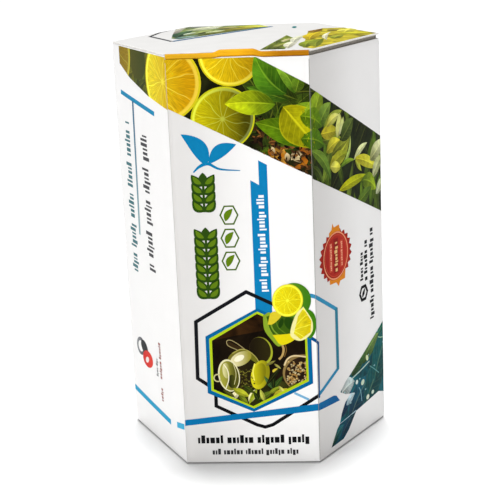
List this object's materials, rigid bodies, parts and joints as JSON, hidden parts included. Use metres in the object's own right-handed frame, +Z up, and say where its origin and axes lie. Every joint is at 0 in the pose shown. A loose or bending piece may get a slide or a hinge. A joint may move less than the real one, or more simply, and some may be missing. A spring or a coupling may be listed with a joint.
{
  "type": "tea carton",
  "caption": "Closed six-sided upright folding carton for tea bags, with a tuck-in lid hinged at the back and a printed wrap of fruit and leaves.",
  "frame": {"origin": "middle of the base, on the floor plane", "axes": "+Z up along the carton, the front wall faces -Y, +X to the right of someone who looks at the front"},
  "size_m": [0.0998, 0.0866, 0.153],
  "materials": {
    "boxboard": "satin"
  },
  "bodies": {
    "root": {"carton": "boxboard"}
  },
  "joints": []
}
